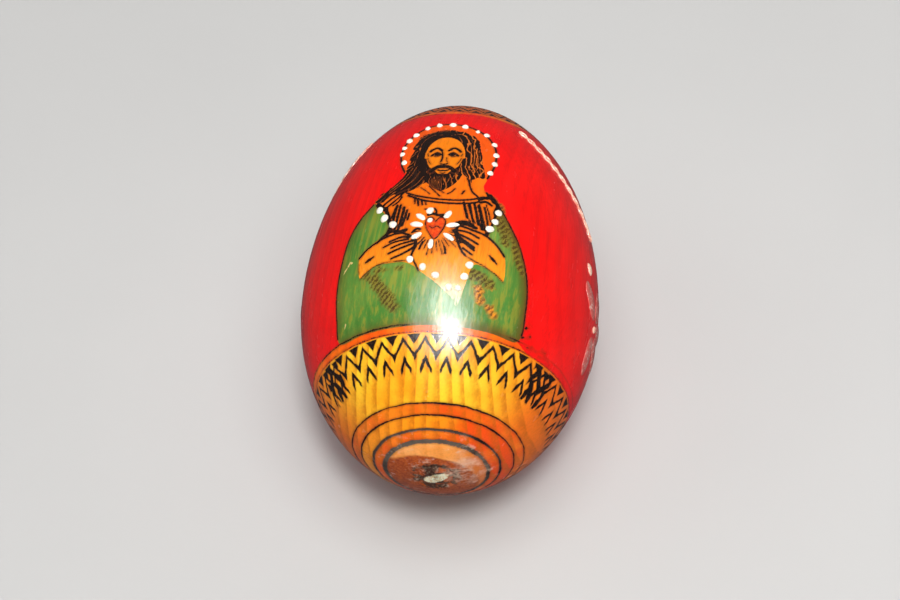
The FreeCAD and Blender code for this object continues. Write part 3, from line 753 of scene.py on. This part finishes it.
def with_figure(wood, colour):
    """The figure, from the robe up to the heart."""
    colour = hatched(wood, wood.covered("robe", colour, robe_colour(wood), soft=0.1))
    colour = wood.covered("halo", colour, (246, 88, 2))
    # painted highlight: the tunic is lighter and yellower towards its foot, near the key light's reflection
    tunic = wood.mix(wood.height.step(2, -9), (240, 112, 4), (244, 146, 26))
    tunic = wood.mix(wood.fibre.step(0.5, 0.7) * 0.35, tunic, (230, 98, 6))
    tunic = wood.mix(wood.height.step(-9.5, -12.5), tunic, (246, 220, 176))  # painted highlight: pale cream at its tip
    # the tunic thins out over the robe towards its painted pale tip
    fading = wood.height.step(-10.2, -13.2) * (0.45 + wood.fibre.step(0.35, 0.6) * 0.5)
    colour = wood.covered("tunic", colour, tunic, share=1 - fading)
    lock, hairy = hair_colour(wood)
    colour = wood.mix(hairy, colour, lock)
    colour = wood.covered("face", colour, (240, 126, 8))
    colour = wood.covered("beard", colour, lock)
    heart = wood.mix(wood.speckle.step(0.4, 0.7), (216, 58, 8), (236, 92, 14))
    return wood.covered("heart", colour, heart)


def scorched(wood, colour, ink):
    """Burnt lines, dark in their middle and brown at their sides, and chips in the dye."""
    colour = wood.mix(ink.step(0.42, -0.02) * 0.38, colour, (112, 44, 14))
    core = wood.mix(wood.speckle.step(0.45, 0.7), (24, 12, 8), (52, 27, 15))
    greyed = wood.beyond.step(15.4, 17.5) * wood.blotch.step(0.3, 0.55)
    core = wood.mix(greyed * 0.75, core, (112, 100, 88))
    colour = wood.mix(ink.step(0.05, -0.06), colour, core)
    chipped = (wood.attribute("chips") + 0.14 + wood.edge * 2.6).step(0.06, -0.06)
    return wood.mix(chipped, colour, (222, 190, 118))


def grained(wood, colour):
    """Grain shows through every dye, and least through the red ground and its figure."""
    dyed = wood.beyond.step(0, -0.1)
    depth = 1 - wood.late * (0.14 - dyed * 0.05) - wood.fibre.step(0.45, 0.8) * 0.16 - wood.pores * 0.14
    return wood.shade(colour, depth + wood.fibre.step(0.5, 0.2) * 0.08)


def torn_poles(wood, colour):
    """Torn, dirty end grain round each pole, and the share of bare wood."""
    x, up, speckle = wood.x, wood.up, wood.speckle
    torn_edge = wood.uneven(4.4, 0.9, 4, 0.7, shift=14)
    at_pole = wood.beyond.step(17, 19)
    gaps = wood.noise(0.55, 3, 0.6, shift=16).step(0.42, 0.5)
    dirt = ((x * x + up * up).root() + torn_edge).step(4.2, 3.2) * at_pole * gaps * speckle.step(0.22, 0.36)
    soil = wood.mix(speckle.step(0.45, 0.65), (50, 44, 40), (112, 98, 80))
    along, across = x * 0.92 + up * 0.4, up * 0.92 - x * 0.4
    tear = (along * along * 0.25 + across * across).root() + torn_edge * 0.3
    core = tear.step(1.15, 0.95) * at_pole
    torn = wood.mix(speckle.step(0.46, 0.64), (255, 252, 224), (236, 190, 120))
    return wood.mix(core, wood.mix(dirt * 0.9, colour, soil), torn), (dirt + core).low(1)


def with_scuffs_and_reflection(wood, colour):
    """Milky scuffs in the lacquer near the poles, a painted reflection as a pale patch right of each pole,
    and their share.
    """
    x, up = wood.x - 4.5, wood.up - 1
    cloudy = wood.noise((0.5, 0.8, 0.5), 4, 0.65, shift=21)
    # painted reflection: a pale pinkish patch to the right of each pole
    rubbed_and_sheen = (x * x + up * up * 0.7).root().step(4.6, 1) * cloudy.step(0.36, 0.66) * 0.75
    scuffs_and_reflection = (cloudy.step(0.54, 0.68) * wood.beyond.step(15.6, 18.4) * 0.45).high(rubbed_and_sheen)
    scuffs_and_reflection = scuffs_and_reflection * wood.beyond.step(15, 16.5)
    return wood.mix(scuffs_and_reflection, colour, (232, 196, 170)), scuffs_and_reflection


def painted_wood():
    wood = Wood()
    ink = wood.attribute("ink") - 0.045 + (wood.scribble - 0.5) * 0.14
    ink = ink.low(wood.attribute("flecks")).low(band_ink(wood)) + wood.edge * 0.8
    colour = grained(wood, scorched(wood, with_figure(wood, ground_colour(wood)), ink))
    colour, bare = torn_poles(wood, colour)
    colour, scuffs_and_reflection = with_scuffs_and_reflection(wood, colour)
    relief = wood.fibre * 0.01 - wood.pores * 0.012 - ink.step(0.02, -0.1) * 0.02 - wood.late * 0.004
    relief = relief + bare * wood.noise(3, 4, 0.7, shift=17) * 0.22
    ripples = wood.noise(0.3, 2, shift=30) * 0.02 + wood.fibre * 0.01 + wood.streak * 0.03
    wiped = wood.noise((0.5, 0.12, 0.5), 3, 0.6, shift=25).step(0.4, 0.7)
    brushed = wood.noise((2.4, 0.05, 1.6), 3, 0.6, shift=33).step(0.35, 0.65)
    return wood.finish(
        Base_Color=colour,
        Roughness=0.4 + wood.fibre * 0.16 + bare * 0.3,
        Normal=wood.bump(relief),
        Specular_IOR_Level=0.05,
        Coat_Weight=0.72 + brushed * 0.28 - bare * 0.6 - scuffs_and_reflection * 0.3,
        Coat_Roughness=0.13 + wiped * 0.15 + scuffs_and_reflection * 0.2,
        Coat_IOR=1.52,
        Coat_Normal=wood.bump(ripples + ink.step(0.05, -0.15) * -0.006),
    )


def enamel(name, fresh, stained, worn_through, share):
    """Thick glossy brush enamel. worn_through is what shows where it has rubbed thin."""
    paint = Paint(name)
    cloud = paint.noise(0.8, 3, 0.6, shift=2)
    fine = paint.noise(3.2, 3, 0.65, shift=7)
    colour = paint.mix(cloud.step(0.42, 0.72) * 0.6, fresh, stained)
    worn = (fine * 0.6 + cloud * 0.4).step(0.6 - 0.26 * share, 0.72 - 0.26 * share) * share
    colour = paint.mix(worn, colour, worn_through)
    return paint.finish(
        Base_Color=colour,
        Roughness=0.22 + fine * 0.2 + worn * 0.2,
        Normal=paint.bump(cloud * 0.05 + fine * 0.012),
        Coat_Weight=0.8,
        Coat_Roughness=0.06,
    )


# ---------- enamel pieces

HALO_DOTS = [
    (-15.5, 14), (-17.5, 16.4), (-17.5, 18.1), (-16.3, 20.1), (-14, 21.6), (-9.5, 23.5), (-4, 24.2),
    (2.5, 24.3), (8.5, 23.8), (18.7, 21.9), (22, 19.4), (22.5, 16.5), (21.7, 14.1), (19.9, 11.7),
]
HALO_SMALL_DOT = (14.5, 22.6)
LEFT_COLLAR_DOTS = [(-22, 4), (-19.5, 2.1), (-15.7, 0.5)]
RIGHT_COLLAR_DOTS = [(23.7, 3.5), (22.6, 1.6), (20.8, 0)]
MANTLE_EDGE_DOTS = [
    (-8, -6.3), (-3, -7.7), (2, -9.1), (7.5, -11), (11, -11), (13, -9), (14.5, -7),
]
HEART_CENTRE = (0.4, -0.7)
RAYS = [(-97, 3.1), (-37, 2.9), (10, 2.8), (52, 3.1), (138, 3.1), (167, 2.9), (209, 3.1)]  # angle, reach
HEART_DROPS = [(-1.8, 2.5, 1.2), (-1.5, 0.6, 0.85)]  # longitude, height, width
BLOSSOM_CENTRE, PETAL_REACH, PETAL_ANGLES = (84, -5), 4.7, [135, 80, 25, -30, -85]
BUD, BUD_ANGLE = (73, 3.6), 118
BRAID_START, BRAID_END = (38, 27.6), (80.5, 11.4)
BRAID_WIDTH, BRAID_TALL, BRAID_SWING, BRAID_WAVES = 0.4, 0.22, 0.6, 5.5
LEFT_SHIFT = 12.0  # degrees that the left garland lies further from the figure than the right one
DOT_TALL, DROP_TALL, PETAL_TALL = 0.32, 0.3, 0.2  # mm above the wood
DOME_SHARES = (1.0, 0.96, 0.88, 0.76, 0.6, 0.42, 0.22)  # the rings of a dab's mesh, from its rim inwards
DOME_SIDES = 28
BRAID_POINTS = 161  # along each strand
SUNK = 0.04  # mm that a strand's edges lie under the wood


def at_side(side, longitude):
    """Where a longitude of the right garland comes on a side, which is -1 on the left."""
    return longitude if side > 0 else -longitude - LEFT_SHIFT


def turned(side, angle):
    """An angle of the right garland, mirrored on the left."""
    return angle if side > 0 else 180 - angle


def shifted(centre, angle, reach):
    """The place reach mm from another, at an angle counted from east towards north."""
    longitude, height = centre
    up = height + reach * math.sin(math.radians(angle))
    local = radius_at((height + up) / 2)
    return longitude + math.degrees(reach * math.cos(math.radians(angle)) / local), up


def varied(value, by):
    return value * (1 + RNG.uniform(-by, by))


def add_band(builder, low, high):
    """Faces between two closed loops of vertices."""
    for i in range(len(low)):
        j = (i + 1) % len(low)
        builder.faces.new((low[i], low[j], high[j], high[i]))


def add_dab(builder, longitude, height, angle, length, width, tall, seed):
    """One closed dab of enamel on the wood, with an uneven outline, round shoulders and a slight peak."""
    chance = np.random.default_rng(seed)
    phase = chance.uniform(0, 2 * math.pi, 3)
    around = np.linspace(0, 2 * math.pi, DOME_SIDES, endpoint=False)
    outline = 1 + 0.035 * np.sin(2 * around + phase[0]) + 0.03 * np.sin(3 * around + phase[1])
    outline += 0.02 * np.sin(5 * around + phase[2])
    turn = math.radians(angle)
    lean = chance.uniform(-0.12, 0.12, 2)
    rings = []
    for share in DOME_SHARES:
        lift = tall * (1 - share**2.6) ** 0.75 * (1 + 0.10 * (1 - share)) if share < 1 else -0.03
        along = np.cos(around) * outline * share * length / 2 + lean[0] * (1 - share) * width / 2
        across = np.sin(around) * outline * share * width / 2 + lean[1] * (1 - share) * width / 2
        east = along * math.cos(turn) - across * math.sin(turn)
        north = along * math.sin(turn) + across * math.cos(turn)
        lon = longitude + np.degrees(east / radius_at(height + north))
        rings.append(on_egg(lon, height + north, lift)[0])
    loops = [[builder.verts.new(Vector(point * MM)) for point in ring] for ring in rings]
    for low, high in zip(loops, loops[1:]):
        add_band(builder, low, high)
    top, under = on_egg(longitude, height, tall * 1.04)[0], on_egg(longitude, height, -0.05)[0]
    for centre, loop in ((top, loops[-1]), (under, loops[0][::-1])):
        middle = builder.verts.new(Vector(centre * MM))
        for i in range(DOME_SIDES):
            builder.faces.new((loop[i], loop[(i + 1) % DOME_SIDES], middle))


def dabs(name, material, places, slot="enamel"):
    """A piece of dabs: (longitude, height, angle, length, width, height above the wood) for each."""
    builder = bmesh.new()
    for i, place in enumerate(places):
        add_dab(builder, *place, seed=sum(map(ord, name)) * 31 + i)
    add_piece(f"{name}_paint", mesh_of(builder, name), material, slot, name)


def dot_places(places, width):
    """Round dots of uneven size, turned any way."""
    sizes = [varied(width, 0.12) for _ in places]
    dots = []
    for (lon, up), size in zip(places, sizes):
        angle = RNG.uniform(0, 180)
        dots.append((lon, up, angle, size * RNG.uniform(1, 1.12), size, varied(DOT_TALL, 0.15)))
    return dots


def braid(name, material, side):
    """Two raised lines of enamel that pass over and under each other by turns."""
    ends = [on_egg(at_side(side, lon), up)[0] for lon, up in (BRAID_START, BRAID_END)]
    builder = bmesh.new()
    share = np.linspace(0, 1, BRAID_POINTS)
    longitude = at_side(side, BRAID_START[0] + share * (BRAID_END[0] - BRAID_START[0]))
    height = BRAID_START[1] + share * (BRAID_END[1] - BRAID_START[1])
    points, normals = on_egg(longitude, height)
    across = np.cross(ends[1] - ends[0], normals)
    across /= np.linalg.norm(across, axis=1, keepdims=True)
    profile = np.linspace(0, math.pi, 9)
    for phase in (0.0, math.pi):
        wave = 2 * math.pi * BRAID_WAVES * share + phase
        swell = 1 + 0.16 * np.cos(2 * wave) + 0.05 * np.sin(17 * share + phase)
        taper = np.clip(np.minimum(share, 1 - share) / 0.012, 0.05, 1) ** 0.5
        tall = BRAID_TALL * taper * (1 + 0.18 * np.cos(wave))
        width = BRAID_WIDTH * swell * taper
        swing = BRAID_SWING * np.sin(wave)
        loops = []
        for i in range(BRAID_POINTS):
            ring = []
            for turn in profile:
                aside = swing[i] + math.cos(turn) * width[i] / 2
                lift = math.sin(turn) * tall[i] if 0 < turn < math.pi - 1e-6 else -SUNK
                fall = aside**2 / (2 * RADIUS)  # of the wood, away from the braid's middle
                ring.append(points[i] + across[i] * aside + normals[i] * (lift - fall))
            loops.append([builder.verts.new(Vector(point * MM)) for point in ring])
        for low, high in zip(loops, loops[1:]):
            add_band(builder, low, high)
        builder.faces.new(loops[0][::-1])
        builder.faces.new(loops[-1])
    bmesh.ops.recalc_face_normals(builder, faces=builder.faces)
    add_piece(f"{name}_paint", mesh_of(builder, name), material, "enamel", name)


def add_garland(word, side, aged, rubbed_and_sheen):
    """A braid, a blossom and a bud on one side of the egg."""
    braid(f"garland_braid_{word}", aged, side)
    petals = []
    for angle in PETAL_ANGLES:
        lon, up = shifted(BLOSSOM_CENTRE, angle, PETAL_REACH)
        length, width = varied(6.4, 0.05), varied(3.2, 0.05)
        petals.append((at_side(side, lon), up, turned(side, angle), length, width, PETAL_TALL))
    dabs(f"blossom_petals_{word}", rubbed_and_sheen, petals, "faded_enamel")
    (lon, up), (bud_lon, bud_up) = BLOSSOM_CENTRE, BUD
    eye = (at_side(side, lon), up, 0, 1.25, 1.2, DROP_TALL)
    bud = (at_side(side, bud_lon), bud_up, turned(side, BUD_ANGLE), 2.1, 1.5, DROP_TALL)
    dabs(f"blossom_eye_{word}", aged, [eye], "faded_enamel")
    dabs(f"garland_bud_{word}", aged, [bud])


def add_enamel():
    white = enamel("white_enamel", (250, 244, 228), (232, 216, 178), (226, 196, 150), 0.15)
    aged = enamel("aged_enamel", (246, 208, 184), (232, 168, 140), (206, 60, 40), 0.55)
    rubbed_and_sheen = enamel("rubbed_enamel", (226, 190, 176), (200, 112, 100), (204, 48, 38), 0.85)
    small = [(*HALO_SMALL_DOT, 0, 0.75, 0.75, 0.26)]
    dabs("halo_dots", white, dot_places(HALO_DOTS, 1.0) + small)
    dabs("collar_dots_left", white, dot_places(LEFT_COLLAR_DOTS, 1.2))
    dabs("collar_dots_right", white, dot_places(RIGHT_COLLAR_DOTS, 1.15))
    dabs("mantle_edge_dots", white, dot_places(MANTLE_EDGE_DOTS, 1.2))
    rays = []
    for angle, reach in RAYS:
        length, width = varied(1.9, 0.1), varied(0.95, 0.12)
        rays.append((*shifted(HEART_CENTRE, angle, reach), angle, length, width, DROP_TALL))
    dabs("heart_rays", white, rays)
    drops = [(lon, up, 60, width * 1.1, width, DROP_TALL) for lon, up, width in HEART_DROPS]
    dabs("heart_drops", white, drops)
    for word, side in (("left", -1), ("right", 1)):
        add_garland(word, side, aged, rubbed_and_sheen)


# ---------- studio

VIEW_AZIMUTH, VIEW_ELEVATION, VIEW_REACH = 4.06, 55.05, 359.3  # degrees and mm, seen from the egg's middle
LENS, SENSOR, SHIFT_Y = 88.8, 36.0, 0.0151


def add_camera():
    """Looks down on the egg's middle over its foot, turned about the egg's axis as the figure is."""
    a, e = math.radians(VIEW_AZIMUTH), math.radians(VIEW_ELEVATION)
    back = Vector((math.sin(a) * math.cos(e), -math.cos(a) * math.cos(e), math.sin(e)))
    up = Vector((-math.sin(a) * math.sin(e), math.cos(a) * math.sin(e), math.cos(e)))
    roll = Matrix.Rotation(math.radians(FIGURE_TURN), 3, "Y")
    back, up = roll @ back, roll @ up
    camera = add_object("camera", bpy.data.cameras.new("camera"))
    camera.data.lens, camera.data.sensor_width, camera.data.shift_y = LENS, SENSOR, SHIFT_Y
    camera.data.clip_start, camera.data.clip_end = 0.01, 10.0
    place = Vector(MIDDLE * MM) + back * VIEW_REACH * MM
    turn = Matrix((up.cross(back), up, back)).transposed()
    camera.matrix_world = Matrix.Translation(place) @ turn.to_4x4()
    bpy.context.scene.camera = camera
    return place


def add_light(name, place, target, size, watts, lights=True, mirrored=True):
    """An oval softbox, which may light without showing in the lacquer, or only show there."""
    lamp = bpy.data.lights.new(name, "AREA")
    lamp.shape, lamp.size, lamp.size_y, lamp.energy = "ELLIPSE", size[0], size[1], watts
    light = add_object(name, lamp)
    aim = (target - place).to_track_quat("-Z", "Y").to_matrix().to_4x4()
    light.matrix_world = Matrix.Translation(place) @ aim
    light.visible_diffuse, light.visible_glossy = lights, mirrored


def mirrored_from(eye, longitude, height, distance):
    """Where a light stands that the eye sees mirrored at a place on the egg, and that place."""
    point, normal = on_egg(longitude, height)
    point, normal = Vector(point * MM), Vector(normal)
    to_eye = (eye - point).normalized()
    return point + (2 * normal.dot(to_eye) * normal - to_eye).normalized() * distance, point


def add_studio(eye):
    """A key light mirrored below the robe, and two glows behind it that only show in the lacquer."""
    heart = Vector((0, 0, 0.02))
    add_light("key", *mirrored_from(eye, 9.4, -17.8, 0.75), (0.13, 0.20), 3.2)
    add_light("key_soft", *mirrored_from(eye, 9.2, -16.0, 0.75), (0.60, 0.80), 5.4, mirrored=False)
    add_light("glow", *mirrored_from(eye, 8.2, -15.8, 0.80), (0.34, 0.52), 5.2, lights=False)
    add_light("wide_glow", *mirrored_from(eye, 6.0, -15.4, 0.86), (0.80, 0.86), 9.0, lights=False)
    add_light("left_fill", Vector((-0.8, 0.1, 0.7)), heart, (0.9, 0.9), 1.3, mirrored=False)
    add_light("back_fill", Vector((0.4, 0.9, 0.6)), heart, (0.9, 0.9), 1.3, mirrored=False)
    world = bpy.data.worlds.new("studio")
    world.use_nodes = True
    background = world.node_tree.nodes["Background"]
    background.inputs["Color"].default_value = (0.93, 0.96, 1.0, 1)
    background.inputs["Strength"].default_value = 0.10
    bpy.context.scene.world = world
    bpy.context.scene.view_settings.view_transform = "Standard"


def add_floor():
    builder = bmesh.new()
    bmesh.ops.create_grid(builder, x_segments=2, y_segments=2, size=1.6)
    floor = add_object("floor", mesh_of(builder, "floor"))
    paint = Paint("floor_paper")
    grey = paint.mix(paint.noise(0.02, 3), (184, 183, 181), (190, 189, 187))
    pitted = paint.bump(paint.noise(1.5, 3) * 0.01)
    floor.data.materials.append(paint.finish(Base_Color=grey, Roughness=0.85, Normal=pitted))
    floor.visible_glossy = False


add_piece("turned_wood", egg_mesh(), painted_wood(), "wood", "wooden_egg")
add_enamel()
add_floor()
add_studio(add_camera())
